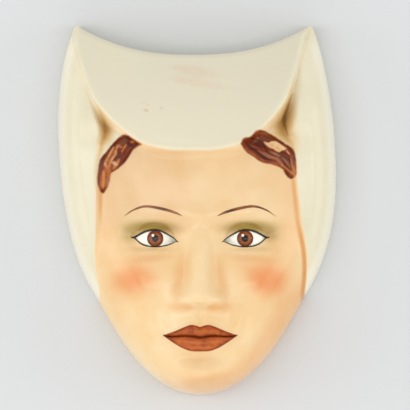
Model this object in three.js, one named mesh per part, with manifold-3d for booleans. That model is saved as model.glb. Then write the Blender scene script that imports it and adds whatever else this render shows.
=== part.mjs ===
// Ceramic wall mask: a woman's face in a hood with a turned-up brim, made as one hollow slip casting.
// Millimetres. X runs across the face, Y from the chin to the crown and Z out of the wall.
// Z = 0 is the plane of the back rim, and the origin is the middle of that plane.
import * as THREE from 'three';
import { mergeVertices } from 'three/addons/utils/BufferGeometryUtils.js';
import Module from 'manifold-3d';

// Driving dimensions
const WALL = 5.5;
const CHIN_Y = -120;
const HORN = { x: 78, y: 120 };
const TOP_DIP_Y = 103.3;
const WIDEST = { x: 90.9, y: 40 };
const JAW = { x: 68.7, y: -54 };
const FOREHEAD_Z = 60;
const BRIM_Z = 64.5;
const BRIM_DEPTH = 81;
const LEDGE = { y: 78, thick: 5, holeRadius: 4.5, holeY: 86 };

// The face follows the usual canon: seven eye widths tall, in thirds from the hairline down
const EYE = 29;
const EYE_Y = CHIN_Y + 3.5 * EYE;
const BROW_Y = CHIN_Y + 4 * EYE;
const NOSE_Y = CHIN_Y + 2 * EYE;
const MOUTH_Y = CHIN_Y + (4 / 3) * EYE;
const MOUTH_HALF = 24;

// Spacing of the surface points
const COARSE = 4.7;
const FINE = 2.35;
const INSIDE = 8;
const NEAREST = 0.5;

// Shaping functions

function clamp(value, low = 0, high = 1) {
  return Math.min(high, Math.max(low, value));
}

// An S-shaped rise from 0 to 1 while the value goes from one limit to the other
function ease(from, to, value) {
  const t = clamp((value - from) / (to - from));
  return t * t * (3 - 2 * t);
}

// A quarter circle: it leaves 0 upright and reaches 1 level
function quarterRound(t) {
  const rest = 1 - clamp(t);
  return Math.sqrt(1 - rest * rest);
}

function softMax(a, b, blend) {
  const h = clamp(0.5 + (0.5 * (a - b)) / blend);
  return b + (a - b) * h + blend * h * (1 - h);
}

// A soft oval mound of height 1, turned anticlockwise
function mound(x, y, [cx, cy], [sx, sy], turn = 0) {
  const c = Math.cos(turn);
  const s = Math.sin(turn);
  const u = ((x - cx) * c + (y - cy) * s) / sx;
  const v = ((y - cy) * c - (x - cx) * s) / sy;
  return Math.exp(-u * u - v * v);
}

function gauss(t) {
  return Math.exp(-t * t);
}

// A smooth curve through points of any number of values
function curveThrough(points, steps) {
  const first = points[0].map((v, k) => 2 * v - points[1][k]);
  const last = points.at(-1).map((v, k) => 2 * v - points.at(-2)[k]);
  const all = [first, ...points, last];
  const out = [];
  for (let i = 1; i < all.length - 2; i += 1) {
    for (let step = 0; step < steps; step += 1) {
      const t = step / steps;
      out.push(all[i].map((b, k) => {
        const a = all[i - 1][k];
        const c = all[i + 1][k];
        const d = all[i + 2][k];
        return 0.5 * (2 * b + (c - a) * t + (2 * a - 5 * b + 4 * c - d) * t ** 2 + (3 * b - a - 3 * c + d) * t ** 3);
      }));
    }
  }
  out.push(points.at(-1));
  return out;
}

// The second value at a place along the first, which rises from point to point
function lookUp(line, value) {
  if (value <= line[0][0]) return line[0][1];
  for (let i = 1; i < line.length; i += 1) {
    const [a, b] = [line[i - 1], line[i]];
    if (value <= b[0]) return a[1] + ((b[1] - a[1]) * (value - a[0])) / (b[0] - a[0]);
  }
  return line.at(-1)[1];
}

// The nearest place on a line to a point
function nearest(line, x, y) {
  let best = { distance: Infinity };
  for (let i = 1; i < line.length; i += 1) {
    const [ax, ay] = line[i - 1];
    const [ux, uy] = [line[i][0] - ax, line[i][1] - ay];
    const t = clamp(((x - ax) * ux + (y - ay) * uy) / (ux * ux + uy * uy + 1e-12));
    const [dx, dy] = [x - ax - t * ux, y - ay - t * uy];
    const distance = Math.hypot(dx, dy);
    if (distance < best.distance) best = { distance, i, t };
  }
  return best;
}

function isInside(loop, x, y) {
  let inside = false;
  for (let i = 0, j = loop.length - 1; i < loop.length; j = i, i += 1) {
    const [ax, ay] = loop[i];
    const [bx, by] = loop[j];
    if (ay > y !== by > y && x < ((bx - ax) * (y - ay)) / (by - ay) + ax) inside = !inside;
  }
  return inside;
}

// Outlines, drawn on the right half and mirrored

function bezier(controls, steps) {
  const vectors = controls.map(([x, y]) => new THREE.Vector2(x, y));
  return new THREE.CubicBezierCurve(...vectors).getPoints(steps).map((p) => [p.x, p.y]);
}

function sideLine(steps) {
  const upper = bezier([[HORN.x, HORN.y], [84.5, 98], [WIDEST.x, 75], [WIDEST.x, WIDEST.y]], steps);
  const lower = bezier([[WIDEST.x, WIDEST.y], [WIDEST.x, 5], [82, -30], [JAW.x, JAW.y]], steps);
  const jaw = bezier([[JAW.x, JAW.y], [59.3, -71], [38, CHIN_Y], [0, CHIN_Y]], steps);
  return [...upper, ...lower.slice(1), ...jaw.slice(1)];
}

function topLine(steps) {
  const line = [];
  for (let i = 0; i <= steps; i += 1) {
    const u = (2 * i) / steps - 1;
    line.push([HORN.x * u, TOP_DIP_Y + (HORN.y - TOP_DIP_Y) * u * u]);
  }
  return line;
}

const mirrored = (line) => line.map(([x, y]) => [-x, y]);

function wholeOutline(steps) {
  const right = sideLine(steps);
  const left = mirrored(right).reverse();
  return [...topLine(2 * steps), ...right.slice(1), ...left.slice(1, -1)].reverse();
}

// The same loop with its points a set distance apart, and a point kept on each horn
function evenly(line, spacing) {
  const curve = new THREE.CurvePath();
  for (let i = 1; i < line.length; i += 1) {
    curve.add(new THREE.LineCurve(new THREE.Vector2(...line[i - 1]), new THREE.Vector2(...line[i])));
  }
  const count = Math.max(1, Math.round(curve.getLength() / spacing));
  const out = [];
  for (let i = 0; i <= count; i += 1) {
    const p = curve.getPointAt(i / count);
    out.push([p.x, p.y]);
  }
  return out;
}

const SIDE = sideLine(60);
const TOP = topLine(120);
const OUTLINE = wholeOutline(60);

// The side panel's inner edge: down the fold beside the brim, then down the side of the face
const PANEL_EDGE = curveThrough([
  [78.2, 121], [76.6, 113], [73.4, 99], [69, 86.5], [65, 75.5], [61.8, 65], [59.4, 54], [59.6, 45],
  [61.6, 36], [63.8, 26], [65.2, 14], [66.3, -8], [67.2, -30], [68.3, -46], [70, -58], [72.5, -70],
], 6);
const PANEL_X = PANEL_EDGE.map(([x, y]) => [y, x]).reverse();
const PANEL_CREST = curveThrough([
  [-75, 33.5], [-46, 37.5], [-12, 42], [25, 45], [60, 44.8], [90, 37.2], [121, 19],
], 8);
const PANEL_ROLL = 17;

// Hair locks at the temples: x, y and half width along each lock
const LOCKS = [
  [[-38, 46.5, 1.2], [-43, 45.2, 4.2], [-50, 39.5, 5.4], [-56.5, 31, 5], [-60.5, 22, 3.6], [-62.3, 13.5, 1.4]],
  [[31, 43.6, 2], [37, 43.3, 5.2], [44, 41.6, 7.4], [52, 38, 6.8], [59, 32, 5], [62.6, 24.5, 3.4], [63.6, 19.5, 1.8]],
].map((line) => curveThrough(line, 8));
const LOCK_RISE = 2.6;
const LOCK_ROLL = 3;

// Relief of the right half of the face: rise, place, size and turn of each soft mound
const RELIEF = [
  { form: 'brow ridge', rise: 1.6, at: [24, BROW_Y - 1], size: [20, 7] },
  { form: 'glabella', rise: 1, at: [0, BROW_Y + 1], size: [12, 8] },
  { form: 'temple', rise: -2.2, at: [60, BROW_Y + 10], size: [12, 18] },
  { form: 'eye socket', rise: -5.2, at: [30, EYE_Y + 1.5], size: [17, 11.5] },
  { form: 'inner socket', rise: -2, at: [13.5, EYE_Y + 3], size: [6, 10] },
  { form: 'cheek', rise: 4.2, at: [35, -49], size: [19, 18], turn: -0.25 },
  { form: 'cheekbone', rise: 2, at: [52, -33], size: [14, 12] },
  { form: 'hollow of the cheek', rise: -1.6, at: [44, -84], size: [13, 17] },
  { form: 'muzzle', rise: 5, at: [0, MOUTH_Y + 1], size: [27, 17] },
  { form: 'chin', rise: 6, at: [0, -107.5], size: [15, 10.5] },
  { form: 'hollow over the chin', rise: -2.4, at: [0, -94.5], size: [15, 4.6] },
  { form: 'fold beside the mouth', rise: -0.9, at: [22.5, -69], size: [2.6, 13], turn: -0.35 },
  { form: 'nose wing', rise: 7.2, at: [12.2, -57.2], size: [4.8, 5.4], turn: 0.25 },
  { form: 'nostril', rise: -3.2, at: [7.2, NOSE_Y], size: [3.6, 1.6], turn: 0.35 },
  { form: 'mouth corner', rise: -1.2, at: [MOUTH_HALF + 0.5, MOUTH_Y + 0.8], size: [2.6, 2.4] },
  { form: 'philtrum', rise: -0.9, at: [0, -69.5], size: [2, 5.2] },
  { form: 'edge of the philtrum', rise: 0.55, at: [3.9, -69.5], size: [1.6, 5.4] },
];

// Height of the nose over the face down its ridge, and its half width there
const NOSE_RIDGE = curveThrough([
  [-72, 0], [-66, 0.6], [-63.5, 3], [-61.8, 9], [-59, 15.8], [-55.5, 18.2], [-50, 17.4], [-42, 14.2],
  [-32, 9.8], [-22, 5.2], [-14, 1.6], [-8, 0.2], [-2, 0],
], 6);
const NOSE_HALF = [[-66, 9.5], [-60, 9.8], [-55, 9.6], [-46, 8.2], [-34, 7.4], [-20, 7.6], [-8, 9.5], [0, 12]];

function nose(x, y) {
  const across = Math.abs(x) / lookUp(NOSE_HALF, y);
  return lookUp(NOSE_RIDGE, y) * Math.exp(-(across ** 2.8));
}

// Eyes: a ball behind two lids
const BALL = { radius: 15.5, top: 54.2, lid: 1.5 };
const UPPER_LID = curveThrough([
  [EYE - 13.6, EYE_Y - 1.4], [EYE - 9, EYE_Y + 2.6], [EYE - 2, EYE_Y + 5.6], [EYE + 6, EYE_Y + 4.9],
  [EYE + 13.8, EYE_Y + 0.9],
], 8);
const LOWER_LID = curveThrough([
  [EYE - 13.6, EYE_Y - 1.4], [EYE - 8, EYE_Y - 3.7], [EYE, EYE_Y - 4.8], [EYE + 8, EYE_Y - 3.4],
  [EYE + 13.8, EYE_Y + 0.9],
], 8);
const EYE_LOOP = [...UPPER_LID, ...LOWER_LID.slice(0, -1).reverse()];
const LID_CREASE = UPPER_LID.map(([x, y]) => [x, y + 4.4 - 2.2 * ((x - EYE) / 14) ** 2]);
const UNDER_EYE = LOWER_LID.slice(4, -3).map(([x, y]) => [x + 0.5, y - 5]);

function withEye(x, y, z) {
  const side = Math.abs(x);
  const fromCentre = Math.hypot(side - EYE, (y - EYE_Y) * 1.05);
  if (fromCentre > 2 * BALL.radius) return z;
  const dome = Math.sqrt(Math.max(BALL.radius ** 2 - fromCentre ** 2, 0)) - BALL.radius;
  const ball = BALL.top + dome - 0.105 * (side - EYE);
  const edge = nearest(EYE_LOOP, side, y).distance * (isInside(EYE_LOOP, side, y) ? 1 : -1);
  const lids = fromCentre < 0.99 * BALL.radius ? softMax(z, ball + BALL.lid, 1.6) : z;
  const open = ease(-0.35, 0.45, edge);
  const crease = gauss(nearest(LID_CREASE, side, y).distance / 1.25) * ease(0, 2.5, y - EYE_Y);
  const underEye = gauss(nearest(UNDER_EYE, side, y).distance / 2.2);
  return lids * (1 - open) + Math.min(lids, ball) * open - 1.15 * crease - 0.55 * underEye;
}

// Closed lips, full in the middle and fading to the corners
const PARTING = curveThrough([
  [0, MOUTH_Y - 0.5], [4, MOUTH_Y + 0.1], [9, MOUTH_Y + 0.5], [16, MOUTH_Y + 0.1], [21, MOUTH_Y + 0.2],
  [MOUTH_HALF, MOUTH_Y + 0.9],
], 8);
const LIP_TOP = curveThrough([
  [0, MOUTH_Y + 6.3], [3.2, MOUTH_Y + 7.4], [6.2, MOUTH_Y + 7.6], [11, MOUTH_Y + 5.9], [17, MOUTH_Y + 3.3],
  [21.5, MOUTH_Y + 1.7], [MOUTH_HALF, MOUTH_Y + 0.9],
], 8);
const LIP_FOOT = curveThrough([
  [0, MOUTH_Y - 9.4], [6, MOUTH_Y - 9.1], [12, MOUTH_Y - 7], [18, MOUTH_Y - 3.4], [21.5, MOUTH_Y - 1],
  [MOUTH_HALF, MOUTH_Y + 0.9],
], 8);

function lips(x, y) {
  const side = Math.abs(x);
  const parting = lookUp(PARTING, side);
  const groove = 1.3 * gauss((y - parting) / 0.9) * ease(MOUTH_HALF + 1.5, MOUTH_HALF - 3, side);
  if (side >= MOUTH_HALF) return -groove;
  const fade = Math.sqrt(1 - (side / MOUTH_HALF) ** 2);
  if (y >= parting) {
    const t = (y - parting) / Math.max(lookUp(LIP_TOP, side) - parting, 0.05);
    const roll = Math.sqrt(clamp(1.9 * t)) * clamp(1 - 0.85 * Math.max(t - 0.55, 0)) * (1 - ease(0.85, 1.45, t));
    return 2.6 * fade * roll - groove;
  }
  const t = (parting - y) / Math.max(parting - lookUp(LIP_FOOT, side), 0.05);
  const belly = Math.sqrt(clamp(1 - ((0.8 * clamp(t, 0, 1.25) - 0.42) / 0.42) ** 2));
  return 3.6 * fade * belly * (1 - ease(0.8, 1.35, t)) - groove;
}

// Rise of the hair locks
function hair(x, y) {
  let rise = 0;
  for (const lock of LOCKS) {
    const { distance, i, t } = nearest(lock, x, y);
    const half = lock[i - 1][2] + (lock[i][2] - lock[i - 1][2]) * t;
    rise = Math.max(rise, LOCK_RISE * quarterRound((half - distance) / LOCK_ROLL));
  }
  return rise;
}

// Millimetres inside the brim's curved lower edge
function insideBrim(x, y) {
  const q = Math.hypot(x / HORN.x, (y - HORN.y) / BRIM_DEPTH) + 1e-9;
  const slope = Math.hypot(x / HORN.x ** 2, (y - HORN.y) / BRIM_DEPTH ** 2) / q;
  return (1 - q) / Math.max(slope, 1e-4);
}

// Distance to an edge line, with what lies on the line at exactly nothing
function depthFrom(line, x, y) {
  return Math.max(0, nearest(line, x, y).distance - 0.03);
}

// Height of the front above the wall plane at any place
function frontHeight(x, y) {
  const side = Math.abs(x);
  const depth = isInside(OUTLINE, x, y) ? depthFrom(SIDE, side, y) : 0;
  const wallTop = 8 + 10 * ease(70, 120, y) + 4 * ease(-80, -118, y);
  const core = FOREHEAD_Z - 0.0042 * x * x - 0.0022 * Math.max(0, y - 5) ** 2;
  const roll = 30 - 14 * ease(-50, -118, y);
  let relief = 0;
  for (const { rise, at, size, turn } of RELIEF) relief += rise * mound(side, y, at, size, turn);
  let face = wallTop + (core - wallTop) * quarterRound(depth / roll) + relief * ease(0, 16, depth);
  face = withEye(x, y, face + nose(x, y) + lips(x, y)) + hair(x, y);

  const fromPanel = nearest(PANEL_EDGE, side, y).distance * (side > lookUp(PANEL_X, y) ? 1 : -1);
  const crest = lookUp(PANEL_CREST, y);
  const panel = wallTop + (crest - wallTop) * quarterRound(depth / PANEL_ROLL)
    - 0.1 * Math.max(fromPanel, 0) * ease(0, 12, depth);
  const foldFloor = panel - 4.5 * (1 - 0.75 * ease(78, 121, y));
  const toFold = ease(52, 74, y);
  const pocket = 9.5 * mound(side, y, [59.4, 54], [6.5, 13], -0.22);
  const lining = face * (1 - toFold) + foldFloor * toFold - pocket;
  const panelRise = lookUp([[-60, 2.4], [20, 2.4], [45, 4.2], [60, 6.5], [75, 5], [95, 3.6], [120, 1.5]], y);
  const rise = fromPanel > 0 ? quarterRound(fromPanel / panelRise) : 0;

  const brim = BRIM_Z - 0.003 * x * x - 0.004 * (y - (HORN.y - BRIM_DEPTH)) ** 2;
  const inBrim = insideBrim(x, y);
  const underBrim = brim - 1.6 + 2.6 * Math.min(inBrim, 0);
  const under = softMax(lining * (1 - rise) + panel * rise, underBrim, 1.2);
  const topRoll = 4 * (1 - quarterRound(depthFrom(TOP, x, y) / 4));
  const brimFace = brim + 0.5 * gauss((inBrim - 1.4) / 1.3) - topRoll;
  const onBrim = inBrim > 0 ? quarterRound(inBrim / 2) : 0;
  return under * (1 - onBrim) + brimFace * onBrim;
}

// Height of the hollow: nowhere nearer to the front than the wall's thickness
function hollowHeight(x, y) {
  let lowest = frontHeight(x, y) - WALL;
  for (const share of [0.5, 0.85, 1]) {
    for (let k = 0; k < 16; k += 1) {
      const angle = (k * Math.PI) / 8;
      const reach = WALL * share;
      const front = frontHeight(x + reach * Math.cos(angle), y + reach * Math.sin(angle));
      lowest = Math.min(lowest, front - WALL * Math.sqrt(1 - share * share));
    }
  }
  return lowest;
}

// Surface points

// A repeatable shift of a hundredth of a millimetre or so, which keeps four points off one circle
function shaken([x, y], amount = 0.015) {
  const wave = Math.sin(x * 12.9898 + y * 78.233) * 43758.5453;
  const other = Math.sin(x * 39.346 + y * 11.135) * 24634.6345;
  return [x + amount * (wave - Math.floor(wave) - 0.5), y + amount * (other - Math.floor(other) - 0.5)];
}

class PointField {
  constructor(points) {
    this.points = points.map((p) => shaken(p));
  }

  add(point, clearance) {
    const near = ([x, y]) => Math.hypot(x - point[0], y - point[1]) < clearance;
    if (!this.points.some(near)) this.points.push(shaken(point));
  }

  // Rows beside a line, at the given distances to its left
  addRows(line, offsets, spacing, allowed) {
    const path = evenly(line, spacing);
    for (const offset of offsets) {
      for (let i = 0; i < path.length; i += 1) {
        const [ax, ay] = path[Math.max(i - 1, 0)];
        const [bx, by] = path[Math.min(i + 1, path.length - 1)];
        const length = Math.hypot(bx - ax, by - ay);
        const point = [path[i][0] - (offset * (by - ay)) / length, path[i][1] + (offset * (bx - ax)) / length];
        if (allowed(...point)) this.add(point, NEAREST);
      }
    }
  }

  // Points in a triangular grid
  addGrid(spacing, allowed) {
    const rowHeight = spacing * Math.sqrt(0.75);
    for (let row = 0; row * rowHeight < 2 * HORN.y; row += 1) {
      for (let x = -WIDEST.x + (row % 2) * 0.5 * spacing; x < WIDEST.x; x += spacing) {
        const y = CHIN_Y + row * rowHeight;
        if (allowed(x, y)) this.add([x, y], 0.68 * spacing);
      }
    }
  }
}

function brimEdge(steps) {
  const line = [];
  for (let i = 0; i <= steps; i += 1) {
    const angle = (Math.PI * i) / steps;
    line.push([HORN.x * Math.cos(angle), HORN.y - BRIM_DEPTH * Math.sin(angle)]);
  }
  return line;
}

// The places with small forms: eyes, nose, mouth and hair locks, each a centre and two half sizes
const FINE_PLACES = [
  [[EYE, EYE_Y], [19, 12]],
  [[-EYE, EYE_Y], [19, 12]],
  [[0, -46], [17, 28]],
  [[0, MOUTH_Y - 1], [29, 14]],
  [[-52, 32], [14, 22]],
  [[49, 34], [20, 14]],
];
const isFine = (x, y) => FINE_PLACES.some(([[cx, cy], [a, b]]) => Math.hypot((x - cx) / a, (y - cy) / b) < 1);

const edgeDistance = (x, y) => Math.min(nearest(SIDE, Math.abs(x), y).distance, nearest(TOP, x, y).distance);

function frontPoints(loop) {
  const field = new PointField(loop);
  const within = (margin) => (x, y) => isInside(OUTLINE, x, y) && edgeDistance(x, y) > margin;
  const onFace = (x, y) => within(0.6)(x, y) && insideBrim(x, y) < -0.5;
  for (const inset of [0.7, 2.6, 6]) {
    for (const point of movedIn(loop, inset)) field.add(point, NEAREST);
  }
  field.addRows(brimEdge(200), [-2.2, -0.5, 0.15], 3.2, within(0.6));
  field.addRows(PANEL_EDGE, [0.15, 1.2, 3.2], 4, onFace);
  field.addRows(PANEL_EDGE, [-0.9], 4, onFace);
  field.addRows(mirrored(PANEL_EDGE), [-0.15, -1.2, -3.2, 0.9], 4, onFace);
  for (const flip of [(line) => line, mirrored]) {
    field.addRows(flip(UPPER_LID), [-0.45, 0.45], FINE, onFace);
    field.addRows(flip(LOWER_LID), [-0.45, 0.45], FINE, onFace);
    field.addRows(flip(LID_CREASE.slice(4, -4)), [0], FINE, onFace);
    field.addRows(flip(PARTING), [-1.3, 0, 1.3], FINE, onFace);
    field.addRows(flip(LIP_TOP), [0], FINE, onFace);
    field.addRows(flip(LIP_FOOT), [0], FINE, onFace);
  }
  for (const lock of LOCKS) {
    for (const inset of [-0.15, 1.2]) {
      for (const hand of [-1, 1]) {
        const edge = lock.map(([x, y, half], i) => {
          const [ax, ay] = lock[Math.max(i - 1, 0)];
          const [bx, by] = lock[Math.min(i + 1, lock.length - 1)];
          const reach = (hand * Math.max(half - inset, 0)) / Math.hypot(bx - ax, by - ay);
          return [x - reach * (by - ay), y + reach * (bx - ax)];
        });
        field.addRows(edge, [0], 2.4, onFace);
      }
    }
  }
  const inside = within(0.5 * COARSE);
  field.addGrid(FINE, (x, y) => isFine(x, y) && inside(x, y) && insideBrim(x, y) < -1);
  field.addGrid(COARSE, (x, y) => !isFine(x, y) && inside(x, y));
  return field.points;
}

// Solids

// Delaunay triangles, found by adding one point at a time
function delaunay(points) {
  const count = points.length;
  const far = 2000;
  const all = [...points, [-far, -far], [far, -far], [0, far]];
  const circled = (a, b, c) => {
    const [ax, ay] = all[a];
    const [bx, by] = [all[b][0] - ax, all[b][1] - ay];
    const [cx, cy] = [all[c][0] - ax, all[c][1] - ay];
    const twice = 2 * (bx * cy - by * cx);
    const ux = (cy * (bx * bx + by * by) - by * (cx * cx + cy * cy)) / twice;
    const uy = (bx * (cx * cx + cy * cy) - cx * (bx * bx + by * by)) / twice;
    return { corners: [a, b, c], x: ax + ux, y: ay + uy, reach: ux * ux + uy * uy };
  };
  let triangles = [circled(count, count + 1, count + 2)];
  for (let i = 0; i < count; i += 1) {
    const [x, y] = all[i];
    const kept = [];
    const border = new Map();
    for (const triangle of triangles) {
      if ((x - triangle.x) ** 2 + (y - triangle.y) ** 2 >= triangle.reach) {
        kept.push(triangle);
        continue;
      }
      const [a, b, c] = triangle.corners;
      for (const [from, to] of [[a, b], [b, c], [c, a]]) {
        if (!border.delete(`${to} ${from}`)) border.set(`${from} ${to}`, [from, to]);
      }
    }
    for (const [from, to] of border.values()) kept.push(circled(from, to, i));
    triangles = kept;
  }
  return triangles.map(({ corners }) => corners).filter((corners) => Math.max(...corners) < count);
}

// A closed body: a curved top over a loop, a straight wall down the loop and a flat floor
function bodyUnder(loop, points, heightAt, floorZ) {
  const around = loop.length;
  const total = points.length;
  const position = [];
  for (const [x, y] of points) position.push(x, y, heightAt(x, y));
  for (const [x, y] of points.slice(0, around)) position.push(x, y, floorZ);
  const index = [];
  for (const [a, b, c] of delaunay(points)) {
    const x = (points[a][0] + points[b][0] + points[c][0]) / 3;
    const y = (points[a][1] + points[b][1] + points[c][1]) / 3;
    if (isInside(loop, x, y)) index.push(a, b, c);
  }
  for (let i = 0; i < around; i += 1) {
    const next = (i + 1) % around;
    index.push(total + i, total + next, next, total + i, next, i);
  }
  const floor = points.slice(0, around).map(([x, y]) => new THREE.Vector2(x, y));
  for (const [a, b, c] of THREE.ShapeUtils.triangulateShape(floor, [])) index.push(total + c, total + b, total + a);
  const geometry = new THREE.BufferGeometry();
  geometry.setAttribute('position', new THREE.Float32BufferAttribute(position, 3));
  geometry.setIndex(index);
  return geometry;
}

// The loop moved inwards, without the points that come too near to another part of it
function movedIn(loop, distance) {
  const out = [];
  for (let i = 0; i < loop.length; i += 1) {
    const [ax, ay] = loop[(i + loop.length - 1) % loop.length];
    const [bx, by] = loop[(i + 1) % loop.length];
    const length = Math.hypot(bx - ax, by - ay);
    const point = [loop[i][0] - (distance * (by - ay)) / length, loop[i][1] + (distance * (bx - ax)) / length];
    if (edgeDistance(...point) > distance - 0.1) out.push(point);
  }
  return out;
}

const wasm = await Module();
wasm.setup();

function solid(geometry) {
  geometry.deleteAttribute('normal');
  geometry.deleteAttribute('uv');
  const merged = mergeVertices(geometry);
  return new wasm.Manifold(new wasm.Mesh({
    numProp: 3,
    vertProperties: new Float32Array(merged.attributes.position.array),
    triVerts: new Uint32Array(merged.index.array),
  }));
}

// Everything is cast a little long below the wall plane and then cut off flat
const SPARE = 4;

function casting() {
  const top = evenly(TOP, COARSE);
  const right = evenly(SIDE, COARSE);
  const loop = [...top, ...right.slice(1), ...mirrored(right).reverse().slice(1, -1)].reverse();
  const outer = solid(bodyUnder(loop, frontPoints(loop), frontHeight, -SPARE));

  const innerLoop = movedIn(loop, WALL);
  const inner = new PointField(innerLoop);
  const deep = (margin) => (x, y) => isInside(innerLoop, x, y) && edgeDistance(x, y) > WALL + margin;
  for (const point of movedIn(loop, 1.5 * WALL)) inner.add(point, NEAREST);
  inner.addGrid(INSIDE, deep(0.5 * INSIDE));
  const hollow = solid(bodyUnder(innerLoop, inner.points, hollowHeight, -2 * SPARE));

  const ledgeLoop = movedIn(loop, 0.4 * WALL).filter(([, y]) => y > LEDGE.y);
  const ledgeShape = new THREE.Shape(ledgeLoop.map(([x, y]) => new THREE.Vector2(x, y)));
  const ledge = new THREE.ExtrudeGeometry(ledgeShape, { depth: SPARE + LEDGE.thick, bevelEnabled: false });
  ledge.translate(0, 0, -SPARE);
  const hole = new THREE.CylinderGeometry(LEDGE.holeRadius, LEDGE.holeRadius, 6 * LEDGE.thick, 28);
  hole.rotateX(Math.PI / 2);
  hole.translate(0, LEDGE.holeY, 0);
  const below = new THREE.BoxGeometry(4 * WIDEST.x, 4 * HORN.y, 4 * SPARE);
  below.translate(0, 0, -2 * SPARE);
  return outer.subtract(hollow).add(solid(ledge)).subtract(solid(hole)).subtract(solid(below));
}

const { vertProperties, triVerts } = casting().getMesh();
const geometry = new THREE.BufferGeometry();
geometry.setAttribute('position', new THREE.Float32BufferAttribute(vertProperties, 3));
geometry.setIndex([...triVerts]);
geometry.computeVertexNormals();

const glaze = new THREE.MeshStandardMaterial({ color: 0xe9dfbe, roughness: 0.2, metalness: 0 });
const mask = new THREE.Mesh(geometry, glaze);
mask.name = 'mask';

const part = new THREE.Group();
part.add(mask);
export default part;
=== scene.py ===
import math

import bpy
import numpy as np
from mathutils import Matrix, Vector
from mathutils.geometry import delaunay_2d_cdt, tessellate_polygon
from mathutils.kdtree import KDTree


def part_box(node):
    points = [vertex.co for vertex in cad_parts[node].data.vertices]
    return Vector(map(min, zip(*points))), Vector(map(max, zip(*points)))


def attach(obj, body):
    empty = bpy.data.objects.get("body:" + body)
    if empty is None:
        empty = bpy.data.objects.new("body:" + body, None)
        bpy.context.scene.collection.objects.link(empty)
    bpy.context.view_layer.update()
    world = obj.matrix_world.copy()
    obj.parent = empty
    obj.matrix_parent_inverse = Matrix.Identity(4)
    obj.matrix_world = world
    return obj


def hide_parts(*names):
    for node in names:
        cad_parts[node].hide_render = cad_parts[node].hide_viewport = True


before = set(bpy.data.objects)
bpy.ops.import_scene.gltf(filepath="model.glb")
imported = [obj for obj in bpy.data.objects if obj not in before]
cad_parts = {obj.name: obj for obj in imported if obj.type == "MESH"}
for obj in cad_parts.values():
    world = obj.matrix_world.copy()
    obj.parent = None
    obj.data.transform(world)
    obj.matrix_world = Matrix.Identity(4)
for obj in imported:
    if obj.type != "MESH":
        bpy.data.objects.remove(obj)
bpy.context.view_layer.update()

# A glazed pottery wall mask, lying on its back: a face in a pale hood with a turned-up brim.
# Lengths are millimetres until a mesh is made. X runs across the face, Y up the face, Z out of the wall.

MM = 0.001
LOWEST, HIGHEST = (np.array(corner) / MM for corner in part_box("mask"))

# Driving dimensions, the same as the casting's or a little finer
WALL = 5.5
CHIN_Y = round(LOWEST[1])
CROWN_Y = round(HIGHEST[1])
HORN = (74.0, CROWN_Y - 0.8)
HORN_SHOULDER = (77.9, CROWN_Y - 1.8)
TOP_DIP_Y = CROWN_Y - 19.3
TOP_ROUND = 4.0
WIDEST = (round(HIGHEST[0], 1) - 0.66, 42.0)
JAW = (69.3, -54.0)
SIDE_TOP_Z = 8.0
FOREHEAD_Z = 60.0
FACE_ROLL = 30.0
BRIM_Z = 64.5
BRIM_FOOT_Y = 38.6
BRIM_END_X = 76.0
BRIM_SHIFT = 2.9
BRIM_ROUND = 2.0
PANEL_ROLL = 17.0
FOLD_DEPTH = 4.5
POCKET_DEPTH = 3.8
LEDGE_Y = 78.0
LEDGE_THICK = 5.0
HOLE_Y = 86.0
HOLE_RADIUS = 4.5
HOLE_SIDES = 36
FOOT_ROUND = 0.9
FOOT_STEPS = 4
BOW = 2.2
BOW_MIDDLE_Y = 42.0
BOW_REACH = 62.0

# The face follows the usual canon: seven eye widths tall, in thirds from the hairline down
EYE = 29.0
EYE_Y = CHIN_Y + 3.5 * EYE
BROW_Y = CHIN_Y + 4.0 * EYE
NOSE_Y = CHIN_Y + 2.0 * EYE
MOUTH_Y = CHIN_Y + 4.0 / 3.0 * EYE
MOUTH_HALF = 24.0

# Spacing of the surface points, and how far rows and even grids of them stay from the outline
FINE = 0.6
EDGE = 0.9
PLAIN = 1.2
INSIDE = 2.4
INSIDE_EDGE = 2.0
ROW_INSET = 0.4
GRID_INSET = 4.2
INSIDE_INSET = 4.4
# Points this near to a line count as on it
ON_LINE = 0.01


# Shaping functions

def ease(start, end, value):
    t = np.clip((value - start) / (end - start), 0, 1)
    return t * t * (3.0 - 2.0 * t)


def quarter_round(t):
    rest = 1 - np.clip(t, 0, 1)
    return np.sqrt(1 - rest * rest)


def soft_max(a, b, blend):
    """The larger of two heights, with the corner between them rounded."""
    k = 0.3 * blend
    return np.maximum(a, b) + k * np.log1p(np.exp(-np.abs(a - b) / k))


def gauss(t):
    return np.exp(-t * t)


def mound(x, y, at, size, turn=0.0):
    """A soft oval mound of height 1, turned anticlockwise."""
    c, s = math.cos(turn), math.sin(turn)
    u = ((x - at[0]) * c + (y - at[1]) * s) / size[0]
    v = ((y - at[1]) * c - (x - at[0]) * s) / size[1]
    return np.exp(-u * u - v * v)


def mounds(table, x, y):
    """Soft mounds added up, each given by its height, place, size and turn."""
    return sum(height * mound(x, y, at, size, turn) for height, at, size, turn in table)


def curve_through(points, steps=8):
    """A smooth curve through points of any number of values."""
    p = np.array(points, float)
    p = np.vstack([2 * p[0] - p[1], p, 2 * p[-1] - p[-2]])
    t = (np.arange(steps) / steps)[:, None]
    out = []
    for a, b, c, d in zip(p[:-3], p[1:-2], p[2:-1], p[3:]):
        straight = 2 * b + (c - a) * t
        out.append(0.5 * (straight + (2 * a - 5 * b + 4 * c - d) * t**2 + (3 * b - a - 3 * c + d) * t**3))
    return np.vstack(out + [p[-2:-1]])


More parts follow.
